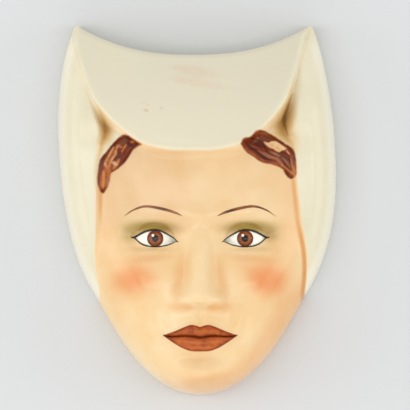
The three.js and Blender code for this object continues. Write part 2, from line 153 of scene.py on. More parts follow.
def nearest(line, x, y):
    """Distance to a line, the place along it as a segment number and fraction, and the side."""
    best = np.full(x.shape, 1e9)
    place = np.zeros(x.shape)
    side = np.ones(x.shape)
    for i in range(len(line) - 1):
        ax, ay = line[i][:2]
        ux, uy = line[i + 1][0] - ax, line[i + 1][1] - ay
        t = np.clip(((x - ax) * ux + (y - ay) * uy) / (ux * ux + uy * uy + 1e-12), 0, 1)
        dx, dy = x - ax - t * ux, y - ay - t * uy
        distance = np.hypot(dx, dy)
        closer = distance < best
        best = np.where(closer, distance, best)
        place = np.where(closer, i + t, place)
        side = np.where(closer, np.sign(ux * dy - uy * dx), side)
    return best, place, side


def is_inside(loop, x, y):
    inside = np.zeros(x.shape, bool)
    for (ax, ay), (bx, by) in zip(loop, np.roll(loop, -1, axis=0)):
        if ay == by:
            continue
        crosses = (ay > y) != (by > y)
        inside ^= crosses & (x < (bx - ax) * (y - ay) / (by - ay) + ax)
    return inside


def evenly(line, spacing):
    """The same line with its points a set distance apart."""
    line = np.array(line)[:, :2]
    lengths = np.concatenate([[0.0], np.cumsum(np.hypot(*np.diff(line, axis=0).T))])
    places = np.linspace(0.0, lengths[-1], max(2, round(lengths[-1] / spacing) + 1))
    return np.stack([np.interp(places, lengths, values) for values in line.T], 1)


def mirrored(line):
    return np.array(line)[:, :2] * (-1.0, 1.0)


# Outlines, drawn on the right half and mirrored

def bezier(a, b, c, d, steps):
    t = np.linspace(0.0, 1.0, steps + 1)[:, None]
    a, b, c, d = (np.array(p, float) for p in (a, b, c, d))
    return (1 - t)**3 * a + 3 * (1 - t)**2 * t * b + 3 * (1 - t) * t**2 * c + t**3 * d


def side_line(steps):
    """From the horn's rounded tip down to the chin."""
    tip = bezier(HORN, (75.4, CROWN_Y + 0.2), (76.9, CROWN_Y + 0.3), HORN_SHOULDER, 8)
    upper = bezier(HORN_SHOULDER, (84.5, 101.0), (WIDEST[0], 76.0), WIDEST, steps)
    lower = bezier(WIDEST, (WIDEST[0] + 0.2, 7.0), (86.2, -28.0), JAW, steps)
    jaw = bezier(JAW, (59.3, -71.0), (38.0, CHIN_Y), (0.0, CHIN_Y), steps)
    return np.vstack([tip, upper[1:], lower[1:], jaw[1:]])


def top_line(steps):
    u = np.linspace(-1.0, 1.0, steps + 1)
    return np.stack([HORN[0] * u, TOP_DIP_Y + (HORN[1] - TOP_DIP_Y) * np.abs(u)**2.4], 1)


def brim_line():
    """The brim's lower edge from the right horn to the left one. The brim sits a little to the left."""
    half = curve_through([
        (BRIM_END_X, CROWN_Y), (74.8, 109.6), (71.2, 95.5), (65.9, 80), (60.7, 69), (48.9, 55.5), (33.6, 44),
        (17, 39.3), (0, BRIM_FOOT_Y),
    ])
    line = np.vstack([half, mirrored(half)[-2::-1]])
    line[:, 0] -= BRIM_SHIFT * ease(CROWN_Y, CROWN_Y - 8, line[:, 1])
    return line


def closed_outline(top, side):
    """The whole outline, anticlockwise."""
    return np.vstack([top, side[1:], mirrored(side)[::-1][1:-1]])[::-1]


SIDE = side_line(60)
TOP = top_line(120)
OUTLINE = closed_outline(TOP, SIDE)

BRIM_EDGE = brim_line()
BRIM_LOOP = np.vstack([BRIM_EDGE, [(-BRIM_END_X, 2 * CROWN_Y), (BRIM_END_X, 2 * CROWN_Y)]])

# The side panel's inner edge, down the fold beside the brim and then down the side of the face
PANEL_SIDE = curve_through([
    (76.4, 121), (72.4, 109.7), (67.8, 95.2), (64.4, 80), (61.3, 68), (58.1, 57.5), (57.5, 51.5), (59.0, 47),
    (61.6, 42.5), (63.2, 36), (64.6, 28), (65.3, 16), (66.6, -5), (68.3, -22), (68.8, -33), (68.0, -44),
    (66.9, -53), (67.6, -59), (71, -66),
], 6)
# How far both inner edges sit to one side at each height: the hood was set a little askew in the mould
PANEL_SHIFT = np.array([
    (-50, 1.4), (-22, 0.2), (-4, -1), (14, -1.3), (28, -1.3), (40, -0.1), (50, -1.15), (100, -1.15), (118, 0),
])


def panel_edge(hand):
    """The inner edge of the right panel for 1 or the left one for -1."""
    x, y = PANEL_SIDE.T
    return np.stack([hand * x + np.interp(y, *PANEL_SHIFT.T), y], 1)


PANEL_EDGES = {hand: panel_edge(hand) for hand in (1, -1)}
# At each height, how high the panel stands and over what width it rises to that
PANEL_CREST = curve_through([
    (-75, 33.5), (-46, 37.5), (-12, 40.4), (10, 41.5), (35, 42.5), (60, 43.8), (90, 37.2), (121, 19),
])
PANEL_RISE = np.array([
    (-60, 4.5), (-15, 6), (45, 6), (60, 8), (75, 7.5), (95, 4.5), (120, 1.5),
])
POCKETS = ((POCKET_DEPTH, (57.6, 57), (6, 12), -0.22), (POCKET_DEPTH, (-59.2, 53), (5.5, 11), 0.22))

# Hair locks at the temples: x, y and half width along each lock
LOCKS = [curve_through(line) for line in (
    [(-38.6, 45.1, 1.4), (-43.6, 43.8, 4.6), (-50.4, 38, 5.9), (-56.9, 29.5, 5.3), (-60.9, 20.5, 3.8),
     (-62.8, 12, 1.4)],
    [(29, 43.2, 2.4), (34.8, 42.8, 6), (41.6, 41.6, 8.2), (49.6, 38, 7.4), (56.4, 32.6, 5.4),
     (60.2, 25.6, 3.8), (60.8, 20.6, 1.8)],
)]
# The outlines of the same locks
LOCK_LOOPS = [curve_through(loop + loop[:1], 4)[:-1, :2] for loop in (
    [(-35.6, 42.6), (-40, 45.4), (-44.7, 48.5), (-48.4, 48.1), (-53.4, 43.9), (-59, 37.2), (-62.8, 33),
     (-64.7, 25.9), (-65.5, 20.1), (-65.1, 15.5), (-62.7, 11), (-60, 13.7), (-57.8, 19.5), (-56.8, 23.8),
     (-51.4, 27.4), (-46.4, 31.8), (-43, 37), (-39.8, 40.4)],
    [(28.4, 42.9), (30.6, 46.5), (34.7, 47.4), (38.1, 50.5), (40.8, 51.8), (43.8, 51.3), (47.4, 49.6),
     (52.9, 46), (57.4, 42.9), (60.5, 41.1), (62.6, 38.6), (63.4, 33.6), (63.5, 27.8), (63.1, 23.2),
     (60.5, 20.6), (57.6, 21.8), (55.6, 24.9), (54.8, 26.7), (51.7, 28.4), (47.7, 29.9), (43.6, 30.5),
     (40, 31.9), (36.4, 34.6), (31.8, 37.8)],
)]
LOCK_RISE = 2.0
LOCK_ROLL = 2.8

# Relief of the right half of the face: rise, place, size and turn of each soft mound
RELIEF = {
    "brow ridge": (1.6, (24, BROW_Y - 1), (20, 7), 0),
    "glabella": (1.0, (0, BROW_Y + 1), (12, 8), 0),
    "temple": (-1.0, (58, BROW_Y + 10), (12, 18), 0),
    "eye socket": (-5.2, (30, EYE_Y + 1.5), (17, 11.5), 0),
    "inner socket": (-2.0, (13.5, EYE_Y + 3), (6, 10), 0),
    "cheek": (4.2, (35, -49), (19, 18), -0.25),
    "cheekbone": (2.0, (52, -33), (14, 12), 0),
    "hollow of the cheek": (-1.6, (44, -84), (13, 17), 0),
    "muzzle": (5.0, (0, MOUTH_Y + 1), (27, 17), 0),
    "chin": (6.0, (0, -107.5), (15, 10.5), 0),
    "hollow over the chin": (-2.4, (0, -94.5), (15, 4.6), 0),
    "fold beside the mouth": (-0.9, (22.5, -69), (2.6, 13), -0.35),
    "nose wing": (7.2, (12.2, -57.2), (4.8, 5.4), 0.25),
    "nostril": (-3.2, (7.2, NOSE_Y), (3.6, 1.6), 0.35),
    "mouth corner": (-1.2, (MOUTH_HALF + 0.5, MOUTH_Y + 0.8), (2.6, 2.4), 0),
    "philtrum": (-0.9, (0, -69.5), (2, 5.2), 0),
    "edge of the philtrum": (0.55, (3.9, -69.5), (1.6, 5.4), 0),
}

# Height of the nose over the face down its ridge, and its half width there
NOSE_RIDGE = curve_through([
    (-72, 0), (-66, 0.6), (-63.5, 3), (-61.8, 9), (-59, 15.8), (-55.5, 18.2), (-50, 17.4), (-42, 14.2),
    (-32, 9.8), (-22, 5.2), (-14, 1.6), (-8, 0.2), (-2, 0),
], 6)
NOSE_HALF = curve_through([
    (-66, 9.5), (-60, 9.8), (-55, 9.6), (-46, 8.2), (-34, 7.4), (-20, 7.6), (-8, 9.5), (0, 12),
], 6)

# Eyes: a ball behind two lids, drawn from the middle of the right eye
BALL_RADIUS = 15.5
BALL_TOP = 54.2
LID_THICK = 1.5
EYE_INNER = (-13.6, -1.4)
EYE_OUTER = (13.8, 0.9)
UPPER_LID = curve_through([EYE_INNER, (-9, 2.6), (-2, 5.6), (6, 4.9), EYE_OUTER]) + (EYE, EYE_Y)
LOWER_LID = curve_through([EYE_INNER, (-8, -3.7), (0, -4.8), (8, -3.4), EYE_OUTER]) + (EYE, EYE_Y)
EYE_LOOP = np.vstack([UPPER_LID, LOWER_LID[-2:0:-1]])
LID_CREASE = np.stack([UPPER_LID[:, 0], UPPER_LID[:, 1] + 4.4 - 2.2 * ((UPPER_LID[:, 0] - EYE) / 14)**2], 1)
UNDER_EYE = LOWER_LID[4:-3] + (0.5, -5.0)

# Closed lips, drawn from their middle to the corner
CORNER = (MOUTH_HALF, 0.9)
PARTING = curve_through([(0, -0.5), (4, 0.1), (9, 0.5), (16, 0.1), (21, 0.2), CORNER]) + (0, MOUTH_Y)
LIP_TOP = curve_through([
    (0, 6.3), (3.2, 7.4), (6.2, 7.6), (11, 5.9), (17, 3.3), (21.5, 1.7), CORNER,
]) + (0, MOUTH_Y)
LIP_FOOT = curve_through([(0, -9.4), (6, -9.1), (12, -7), (18, -3.4), (21.5, -1), CORNER]) + (0, MOUTH_Y)
LIP_LOOP = np.vstack([LIP_TOP, LIP_FOOT[-2::-1]])


# Forms

def inside_loop(loop, x, y, edge=None):
    """Millimetres inside a closed loop, negative outside, from all of it or from one edge."""
    distance = nearest(np.vstack([loop, loop[:1]]) if edge is None else edge, x, y)[0]
    return np.where(is_inside(loop, x, y), distance, -distance)


def inside_eye(x, y):
    return inside_loop(EYE_LOOP, np.abs(x), y)


def inside_brim(x, y):
    return inside_loop(BRIM_LOOP, x, y, BRIM_EDGE)


def with_eye(x, y, z):
    side = np.abs(x)
    from_centre = np.hypot(side - EYE, (y - EYE_Y) * 1.05)
    dome = 0.7 * (np.sqrt(np.maximum(BALL_RADIUS**2 - from_centre**2, 0.0)) - BALL_RADIUS)
    ball = BALL_TOP + dome - 0.105 * (side - EYE)
    lids = np.where(from_centre < 0.99 * BALL_RADIUS, soft_max(z, ball + LID_THICK, 1.6), z)
    opening = ease(-0.35, 0.45, inside_eye(x, y))
    crease = gauss(nearest(LID_CREASE, side, y)[0] / 1.25) * ease(0.0, 2.5, y - EYE_Y)
    under_eye = gauss(nearest(UNDER_EYE, side, y)[0] / 2.2)
    return lids * (1 - opening) + np.minimum(lids, ball) * opening - 1.15 * crease - 0.55 * under_eye


def lips(x, y):
    side = np.abs(x)
    parting = np.interp(side, *PARTING.T)
    groove = 1.3 * gauss((y - parting) / 0.9) * ease(MOUTH_HALF + 1.5, MOUTH_HALF - 3.0, side)
    fade = np.sqrt(np.clip(1 - (side / MOUTH_HALF)**2, 0, 1))
    up = (y - parting) / np.maximum(np.interp(side, *LIP_TOP.T) - parting, 0.05)
    upper = np.sqrt(np.clip(1.9 * up, 0, 1)) * np.clip(1 - 0.85 * np.maximum(up - 0.55, 0.0), 0, 1)
    upper = 2.6 * fade * upper * (1 - ease(0.85, 1.45, up))
    down = (parting - y) / np.maximum(parting - np.interp(side, *LIP_FOOT.T), 0.05)
    belly = np.sqrt(np.clip(1 - ((0.8 * np.clip(down, 0.0, 1.25) - 0.42) / 0.42)**2, 0, 1))
    lower = 3.6 * fade * belly * (1 - ease(0.8, 1.35, down))
    return np.where(side < MOUTH_HALF, np.where(y >= parting, upper, lower), 0.0) - groove


def nose(x, y):
    across = np.abs(x) / np.interp(y, *NOSE_HALF.T)
    return np.interp(y, *NOSE_RIDGE.T) * np.exp(-across**2.8)


def on_lock(lock, x, y):
    """Place along a hair lock from 0 to 1, millimetres across it, and its half width there."""
    distance, place, side = nearest(lock, x, y)
    half = np.interp(place, np.arange(len(lock)), lock[:, 2])
    return place / (len(lock) - 1), side * distance, half


def hair(x, y):
    """Rise of the locks, with grooves that run along between their strands."""
    rise = np.zeros(x.shape)
    for lock, loop in zip(LOCKS, LOCK_LOOPS):
        along, across, half = on_lock(lock, x, y)
        across /= half
        depth = inside_loop(loop, x, y)
        broad = 0.22 * np.sin(8.5 * across + 1.6 * np.sin(5.0 * along))
        narrow = 0.1 * np.sin(19.0 * across - 3.0 * along)
        strands = (broad + narrow) * ease(0.2, 1.6, depth) * ease(0.0, 0.08, along) * ease(1.0, 0.85, along)
        rise = np.maximum(rise, LOCK_RISE * ease(-0.6, LOCK_ROLL, depth) + strands)
    return rise


def beyond_panel_edge(x, y):
    """Millimetres outside the side panels' inner edges."""
    out = np.zeros(x.shape)
    for hand, edge in PANEL_EDGES.items():
        here = x * hand >= 0
        edge_x = np.interp(y[here], edge[::-1, 1], edge[::-1, 0])
        out[here] = nearest(edge, x[here], y[here])[0] * np.sign((x[here] - edge_x) * hand)
    return out


def bare_face(x, y, depth, side_top):
    """The face and its locks as they would be with no hood."""
    core = FOREHEAD_Z - 0.0042 * x * x - 0.0022 * np.maximum(0, y - 5)**2
    roll = FACE_ROLL - 14 * ease(-50, -118, y)
    face = side_top + (core - side_top) * quarter_round(depth / roll)
    face = face + mounds(RELIEF.values(), np.abs(x), y) * ease(0, 16, depth)
    return with_eye(x, y, face + nose(x, y) + lips(x, y)) + hair(x, y)


def with_panels(x, y, face, depth, side_top):
    """The face between the hood's side panels, which are flush with it below the fold beside the brim."""
    from_edge = beyond_panel_edge(x, y)
    panel = side_top + (np.interp(y, *PANEL_CREST.T) - side_top) * quarter_round(depth / PANEL_ROLL)
    panel -= 0.06 * np.maximum(from_edge, 0) * ease(0, 12, depth)
    fold_floor = panel - FOLD_DEPTH * (1 - 0.75 * ease(78, 121, y))
    to_fold = ease(52, 74, y)
    lining = face * (1 - to_fold) + fold_floor * to_fold - mounds(POCKETS, x, y)
    rise = np.interp(y, *PANEL_RISE.T) * np.where(x > 0, 1.0, 0.7)
    on_panel = ease(-1.5, rise, from_edge)
    stepped = lining * (1 - on_panel) + panel * on_panel
    level = soft_max(lining, panel, 2.4) - 0.35 * gauss((from_edge + 2.2) / 1.5)
    flush = ease(54, 40, y) * ease(-40, -12, y)
    return stepped + (level - stepped) * flush


def with_brim(x, y, under):
    """What is under the hood's brim, with the brim and its rounded lip over it."""
    brim = BRIM_Z - 0.003 * x * x - 0.004 * (y - BRIM_FOOT_Y)**2
    in_brim = inside_brim(x, y)
    open_foot = ease(48, 30, np.abs(x))
    under_brim = brim - 1.6 + (2.6 - 1.0 * open_foot) * np.minimum(in_brim, 0)
    under = soft_max(under, under_brim, 1.2 + 2.6 * open_foot)
    from_top = np.maximum(nearest(TOP, x, y)[0] - ON_LINE, 0)
    top_drop = TOP_ROUND * (1 - quarter_round(from_top / TOP_ROUND))
    brim_face = brim + 0.5 * gauss((in_brim - 1.4) / 1.3) - top_drop
    on_brim = np.where(in_brim > 0, quarter_round(in_brim / BRIM_ROUND), 0.0)
    return under * (1 - on_brim) + brim_face * on_brim


def front_height(x, y):
    """Height of the front above the wall plane at any place."""
    from_side = np.maximum(nearest(SIDE, np.abs(x), y)[0] - ON_LINE, 0.0)
    depth = np.where(is_inside(OUTLINE, x, y), from_side, 0.0)
    side_top = SIDE_TOP_Z + 10 * ease(70, 120, y) + 4 * ease(-80, -118, y)
    face = bare_face(x, y, depth, side_top)
    return with_brim(x, y, with_panels(x, y, face, depth, side_top))


def hollow_heights(x, y):
    """Height of the hollow: nowhere nearer to the front than the wall's thickness."""
    margin = 8
    xs = np.arange(-WIDEST[0] - margin, WIDEST[0] + margin + 1, 1.0)
    ys = np.arange(CHIN_Y - margin, CROWN_Y + margin + 1, 1.0)
    grid_x, grid_y = np.meshgrid(xs, ys)
    front = front_height(grid_x.ravel(), grid_y.ravel()).reshape(grid_x.shape)

    def front_at(px, py):
        u, v = px - xs[0], py - ys[0]
        i = np.clip(u.astype(int), 0, len(xs) - 2)
        j = np.clip(v.astype(int), 0, len(ys) - 2)
        u, v = u - i, v - j
        low = front[j, i] * (1 - u) + front[j, i + 1] * u
        high = front[j + 1, i] * (1 - u) + front[j + 1, i + 1] * u
        return low * (1 - v) + high * v

    lowest = front_at(x, y) - WALL
    for share in (0.3, 0.5, 0.7, 0.85, 0.95, 1.0):
        for angle in np.arange(24) * math.tau / 24:
            reach = WALL * share
            near = front_at(x + reach * math.cos(angle), y + reach * math.sin(angle))
            lowest = np.minimum(lowest, near - WALL * math.sqrt(1 - share * share))
    return lowest


# Surface points

def edge_distance(x, y):
    return np.minimum(nearest(SIDE, np.abs(x), y)[0], nearest(TOP, x, y)[0])


def left_of(along):
    """Steps of length 1 to the left of the given directions."""
    along = along / np.hypot(*along.T)[:, None]
    return np.stack([-along[:, 1], along[:, 0]], 1)


def moved_ring(loop, inset):
    """The loop moved inwards with all its points kept."""
    return loop + inset * left_of(np.roll(loop, -1, axis=0) - np.roll(loop, 1, axis=0))


def moved_in(loop, inset):
    """The loop moved inwards, without the points that come too near to another part of it."""
    moved = moved_ring(loop, inset)
    return moved[edge_distance(*moved.T) > 0.99 * inset - 0.02]


def rows(line, offsets, spacing):
    """Rows of points beside a line, at the given distances to its left."""
    path = evenly(line, spacing)
    left = left_of(np.gradient(path, axis=0))
    return np.vstack([path + offset * left for offset in offsets])


def grid(spacing):
    """Points in a triangular grid."""
    height = spacing * math.sqrt(0.75)
    ys = np.arange(CHIN_Y, CROWN_Y, height)
    xs = np.arange(-WIDEST[0], WIDEST[0], spacing)
    x, y = np.meshgrid(xs, ys)
    x = x + (np.arange(len(ys)) % 2)[:, None] * 0.5 * spacing
    return np.stack([x.ravel(), y.ravel()], 1)


def clear_of(points, others, distance):
    """The points that keep a distance from all the others."""
    tree = KDTree(len(others))
    for i, (x, y) in enumerate(others):
        tree.insert((x, y, 0.0), i)
    tree.balance()
    return points[[tree.find((x, y, 0.0))[2] > distance for x, y in points]]


def within(points, inset):
    """The points that are inside the outline and farther than the inset from it."""
    return points[is_inside(OUTLINE, *points.T) & (edge_distance(*points.T) > inset)]


# The places with small forms, each a centre and two half sizes
FINE_PLACES = (
    ((EYE, EYE_Y), (19, 12)),
    ((-EYE, EYE_Y), (19, 12)),
    ((0, -56), (18, 13)),
    ((0, MOUTH_Y - 1), (29, 14)),
    ((-52, 32), (16, 23)),
    ((49, 34), (21, 16)),
    ((62, 58), (10, 20)),
    ((-62, 58), (10, 20)),
)


def is_fine(x, y):
    fine = np.zeros(x.shape, bool)
    for (cx, cy), (a, b) in FINE_PLACES:
        fine |= np.hypot((x - cx) / a, (y - cy) / b) < 1
    return fine


def open_grid(spacing, fine):
    """The grid's points away from the outline, in the fine places or outside them."""
    points = grid(spacing)
    return within(points[is_fine(*points.T) == fine], GRID_INSET)


def front_points(loop):
    """The loop, rows of points along every sharp edge, and grids between them."""
    groups = [moved_in(loop, inset) for inset in (0.05, 0.2, 0.5, 1.0, 1.7, 2.6, 3.7)]
    beside_brim = (-2.6, -1.7, -1.0, -0.5, -0.15, 0.05, 0.3, 0.7, 1.3, 2.0)
    groups.append(within(rows(BRIM_EDGE, beside_brim, 0.9), ROW_INSET))
    marks = [rows(np.vstack([lock, lock[:1]]), (-0.7, -0.25, 0.15), 0.6) for lock in LOCK_LOOPS]
    beside_panel = np.array((-1.0, -0.4, 0.0, 0.1, 0.35, 0.8, 1.5, 2.4, 3.4))
    marks += [rows(edge, hand * beside_panel, 1.0) for hand, edge in PANEL_EDGES.items()]
    for flip in (np.array, mirrored):
        for line, beside, spacing in (
            (UPPER_LID, [0.15, 0.4, 0.9], 0.5), (LOWER_LID, [0.15, 0.4, 0.9], 0.5),
            (PARTING, [0.15, 0.4, 0.8], 0.5), (LIP_TOP, [0.3], 0.5), (LIP_FOOT, [0.3], 0.5),
            (BROW, [0.4, 0.8, 1.3], 0.6),
        ):
            marks.append(rows(flip(line), [-offset for offset in beside[::-1]] + [0.0] + beside, spacing))
    marks = within(np.vstack(marks), ROW_INSET)
    groups.append(marks[inside_brim(*marks.T) < -0.2])
    set_points = np.vstack([loop] + groups)
    fine = clear_of(open_grid(FINE, True), set_points, 0.6 * FINE)
    plain = clear_of(open_grid(PLAIN, False), np.vstack([set_points, fine]), 0.6 * PLAIN)
    return np.vstack([set_points, fine, plain])


def triangulate(points, around):
    """Triangles inside the loop that the first points make."""
    loop = [(i, (i + 1) % around) for i in range(around)]
    keep_inside = 1
    too_near = 0.02
    made = delaunay_2d_cdt([Vector(p) for p in points.tolist()], loop, [], keep_inside, too_near)
    return np.array([tuple(v) for v in made[0]]), np.array(made[2])


# The casting

class Skin:
    """Corners and faces of one mesh, each face with the group that it belongs to."""

    def __init__(self):
        self.corners = []
        self.faces = []
        self.groups = []

    def add_corners(self, corners):
        start = len(self.corners)
        self.corners.extend(map(tuple, corners))
        return list(range(start, len(self.corners)))

    def add_faces(self, faces, group):
        self.faces.extend(tuple(face) for face in faces)
        self.groups.extend([group] * len(faces))

    def add_strip(self, lower, upper, group, closed=True):
        """Faces between two rows of corners, facing right of the way that they run."""
        count = len(lower)
        last = count if closed else count - 1
        quads = [(lower[i], lower[(i + 1) % count], upper[(i + 1) % count], upper[i]) for i in range(last)]
        self.add_faces(quads, group)


def closed_smooth(loop, spacing):
    """The loop with its corners eased and its points a set distance apart."""
    for _ in range(6):
        loop = 0.25 * np.roll(loop, 1, axis=0) + 0.5 * loop + 0.25 * np.roll(loop, -1, axis=0)
    return evenly(np.vstack([loop, loop[:1]]), spacing)[:-1]


def at_height(points, z):
    return np.column_stack([points, np.full(len(points), float(z))])


def fill_between(skin, loops, group, upward):
    """Flat faces inside the first loop and outside the others."""
    order = [i for loop in loops for i in loop]
    made = tessellate_polygon([[Vector(skin.corners[i]) for i in loop] for loop in loops])
    for face in made:
        a, b, c = (order[i] for i in face)
        pa, pb, pc = (Vector(skin.corners[i]) for i in (a, b, c))
        faces_up = (pb - pa).cross(pc - pa).z > 0
        skin.add_faces([(a, b, c) if faces_up == upward else (a, c, b)], group)


def add_front(skin, loop):
    """The whole front. Gives the corners around it."""
    points, triangles = triangulate(front_points(loop), len(loop))
    front = skin.add_corners(np.column_stack([points, front_height(*points.T)]))
    skin.add_faces(np.array(front)[triangles], "front")
    return front[:len(loop)]


def add_side(skin, loop, upper):
    """The upright side and its small round at the wall. Gives the corners around the foot."""
    for step in range(FOOT_STEPS + 1):
        turn = step * math.pi / (2 * FOOT_STEPS)
        ring = moved_ring(loop, FOOT_ROUND * (1 - math.cos(turn)))
        lower = skin.add_corners(at_height(ring, FOOT_ROUND * (1 - math.sin(turn))))
        skin.add_strip(lower, upper, "front")
        upper = lower
    return upper


def add_hollow(skin, loop):
    """The hollow behind the front. Gives the corners around it and their places."""
    inner_loop = closed_smooth(moved_in(loop, WALL), INSIDE_EDGE)
    even = grid(INSIDE)
    even = even[edge_distance(*even.T) > WALL + INSIDE_INSET]
    inner = np.vstack([moved_in(loop, WALL + inset) for inset in (0.3, 0.9, 1.9, 3.2)] + [even])
    inner = inner[is_inside(inner_loop, *inner.T)]
    points, triangles = triangulate(np.vstack([inner_loop, inner]), len(inner_loop))
    hollow = skin.add_corners(np.column_stack([points, hollow_heights(*points.T)]))
    skin.add_faces(np.array(hollow)[triangles[:, ::-1]], "hollow")
    return hollow[:len(inner_loop)], points[:len(inner_loop)]


def add_ledge_and_foot(skin, ring, flat, foot):
    """The pierced ledge across the top of the hollow, the hollow's upright edge, and the flat foot."""
    low = flat[:, 1] < LEDGE_Y
    start = next(i for i in range(len(low)) if low[i] and not low[i - 1])
    turned = [(start + i) % len(low) for i in range(len(low))]
    below = [i for i in turned if low[i]]
    above = [i for i in turned if not low[i]]
    ledge_top = dict(zip(turned, skin.add_corners(at_height(flat[turned], LEDGE_THICK))))
    base = dict(zip(below, skin.add_corners(at_height(flat[below], 0.0))))
    skin.add_strip([ring[i] for i in turned], [ledge_top[i] for i in turned], "hollow")
    skin.add_strip([ledge_top[i] for i in below], [base[i] for i in below], "hollow", closed=False)

    front_top = [ledge_top[below[-1]], ledge_top[below[0]]]
    front_base = [base[below[-1]], base[below[0]]]
    skin.add_strip(front_top, front_base, "ledge", closed=False)

    angle = np.arange(HOLE_SIDES) * math.tau / HOLE_SIDES
    hole = np.stack([HOLE_RADIUS * np.cos(angle), HOLE_Y + HOLE_RADIUS * np.sin(angle)], 1)
    hole_top = skin.add_corners(at_height(hole, LEDGE_THICK))
    hole_base = skin.add_corners(at_height(hole, 0.0))
    skin.add_strip(hole_top, hole_base, "hole")
    fill_between(skin, [front_top + [ledge_top[i] for i in reversed(above)], hole_top], "ledge", True)
    fill_between(skin, [foot, [base[i] for i in below], hole_base], "foot", False)


def make_casting():
    skin = Skin()
    loop = closed_outline(evenly(TOP, EDGE), evenly(SIDE, EDGE))
    foot = add_side(skin, loop, add_front(skin, loop))
    ring, flat = add_hollow(skin, loop)
    add_ledge_and_foot(skin, ring, flat, foot)
    return skin


# Painting: each value at a corner is a depth in millimetres inside a painted shape, or a strength from 0 to 1

# Airbrushed tints on the right half of the face, mirrored to the left: strength, place, size and turn
WARM_TINTS = (
    (0.7, (13.5, -44), (4.5, 16), 0.25),
    (0.8, (12, -62.5), (8, 3.2), 0.1),
    (0.6, (60, 0), (8, 26), 0),
    (0.35, (42, 18), (16, 14), 0),
    (0.45, (44, -40), (24, 22), 0),
    (0.1, (0, -95.5), (15, 3.4), 0),
    (0.5, (33, EYE_Y - 12.5), (14, 2.6), -0.1),
)
EYE_SHADOW = (
    (1.0, (30, EYE_Y + 7.6), (16, 4.6), 0.05),
    (0.4, (31, EYE_Y - 6.6), (14, 2.2), 0),
    (0.5, (46, EYE_Y + 2), (7, 6), 0.4),
)
BLUSH = ((1.0, (43, -44), (15, 11), -0.3),)
# What isn't mirrored: warm tints at the jaw, and a smudge across the hood
JAW_TINTS = ((0.6, (6, -111), (16, 6), 0), (0.3, (52, -72), (12, 18), -0.5))
SMUDGE = [(1.0, at, size, -0.12) for at, size in (
    ((-4, 92), (14, 2.4)), ((6, 88), (19, 3.0)), ((-3, 83.5), (16, 2.6)), ((12, 80), (18, 2.2)),
)]
# Specks on the hood: x, y and radius
SPECKS = ((-33.6, 69.5, 0.7), (-31.6, 69.6, 0.5), (-30.0, 68.0, 0.6), (-31.2, 64.4, 1.1), (-32.6, 65.0, 0.6),
          (-21.6, 65.9, 0.9))

# A place in the right lock that the brown paint missed
BARE_GAP = np.array([
    (43.2, 44.5), (45.2, 44), (46.6, 43.6), (48.4, 44.7), (51.3, 44.8), (53.8, 43.3), (56.3, 41.4),
    (58.2, 39.9), (56.4, 39), (54.8, 38.8), (53, 37.5), (51.1, 38.4), (49.5, 39.7), (47.2, 40.4),
    (45, 42),
])

# Brush strokes on the eyes and brows, each a line of x, y and half width
UPPER_LINE = curve_through([
    (-14.8, -1.9, 0.35), (-10.5, 1.6, 0.55), (-2, 5.7, 0.75), (6, 5, 0.8), (13.8, 1.1, 0.7),
    (16.2, 1.8, 0.15),
]) + (EYE, EYE_Y, 0)
LOWER_LINE = curve_through([
    (*EYE_INNER, 0.4), (-8, -3.8, 0.5), (0, -4.9, 0.55), (8, -3.5, 0.6), (*EYE_OUTER, 0.4),
]) + (EYE, EYE_Y, 0)
BROW = curve_through([
    (11.5, 0.5, 0.15), (16, 2.6, 0.8), (25, 5.2, 0.95), (35, 6.6, 0.8), (43, 4.2, 0.5), (49, 0.2, 0.1),
]) + (0, BROW_Y, 0)
CREASE_LINE = np.column_stack([LID_CREASE[3:-3], np.full(len(LID_CREASE) - 6, 0.22)])
IRIS_RADIUS = 5.4
IRIS_Y = EYE_Y + 0.4
PUPIL_RADIUS = 2.3
CATCHLIGHT = (-1.5, 2.0)
GLINT_RADIUS = 0.85

# The airbrushed tint in the folds, by side: height, strength, and reach over the panel and over the lining
FOLD_TINT = {
    1: [(16, 0.0, 2, 2), (26, 0.35, 2.5, 2), (38, 0.55, 4, 4), (43, 0.7, 7, 10), (49, 0.92, 11, 17),
        (54, 1.0, 12.5, 15), (60, 0.95, 10.5, 10), (68, 0.8, 8, 7), (75, 0.55, 5, 4), (88, 0.35, 2.6, 2),
        (108, 0.2, 1.8, 1.5), (118, 0.1, 1.5, 1.5)],
    -1: [(8, 0.0, 2, 2), (18, 0.4, 3, 2.5), (30, 0.4, 3.5, 3), (39, 0.6, 4, 6), (46, 0.85, 5, 9),
         (52, 0.95, 6, 9), (57.5, 0.85, 6, 7), (64, 0.62, 4.5, 4.5), (72, 0.3, 3, 3), (80, 0.18, 2.6, 2),
         (100, 0.08, 2, 2)],
}
FOLD_CORE = curve_through([
    (63.2, 75, 0.1), (60.8, 68.5, 0.7), (58.2, 62, 1.1), (57.3, 57, 1.2), (58, 53.5, 0.7),
    (59.2, 48.5, 0.1),
], 6)
